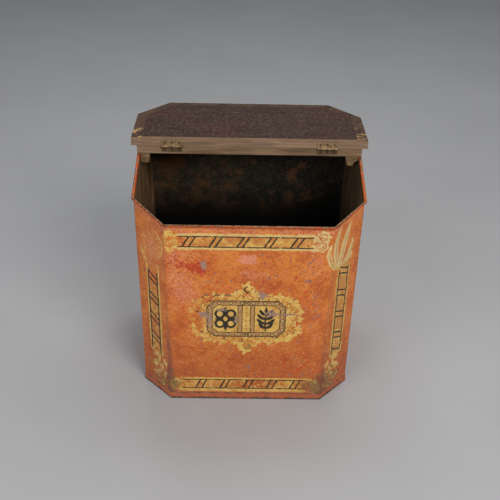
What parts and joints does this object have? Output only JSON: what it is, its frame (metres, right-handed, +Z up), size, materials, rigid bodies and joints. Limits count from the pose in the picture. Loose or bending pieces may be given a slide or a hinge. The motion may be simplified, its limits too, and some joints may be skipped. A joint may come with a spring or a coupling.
{
  "type": "tin shop bin",
  "caption": "Upright canted tin store bin with a rolled rim sloping up to the rear and a two-part wooden lid, its front flap hinged to fold back.",
  "frame": {"origin": "on the ground under the middle of the whole object with the flap folded back", "axes": "+Z up, -Y towards the front of the bin, +X to its right as seen from the front"},
  "size_m": [0.442, 0.3472, 0.4939],
  "materials": {
    "painted_tin": "satin, worn",
    "rim_wire": "dull",
    "board_wood": "aged, matt",
    "flap_wood": "dark stained, worn",
    "batten_wood": "aged, matt",
    "hinge_brass": "tarnished",
    "screw_iron": "rusty",
    "nail_iron": "rusty"
  },
  "bodies": {
    "bin": {"front_wrap": "painted_tin", "back_panel": "painted_tin", "bottom_pan": "painted_tin", "rim_wire": "rim_wire", "fixed_board": "board_wood", "cleat_left": "batten_wood", "cleat_right": "batten_wood", "hinge_left_fixed_leaf": "hinge_brass", "hinge_right_fixed_leaf": "hinge_brass", "hinge_left_pin": "hinge_brass", "hinge_right_pin": "hinge_brass", "hinge_screws_fixed": "screw_iron", "lid_nails": "nail_iron", "side_tacks": "nail_iron"},
    "lid_flap": {"flap_board": "flap_wood", "hinge_left_flap_leaf": "hinge_brass", "hinge_right_flap_leaf": "hinge_brass", "hinge_screws_flap": "screw_iron"}
  },
  "joints": [
    {"name": "lid_hinge", "type": "hinge", "parent": "bin", "child": "lid_flap", "pos_m": [0, -0.00826, 0.47766], "axis": [1, 0, 0], "range_deg": [0, 199]}
  ]
}
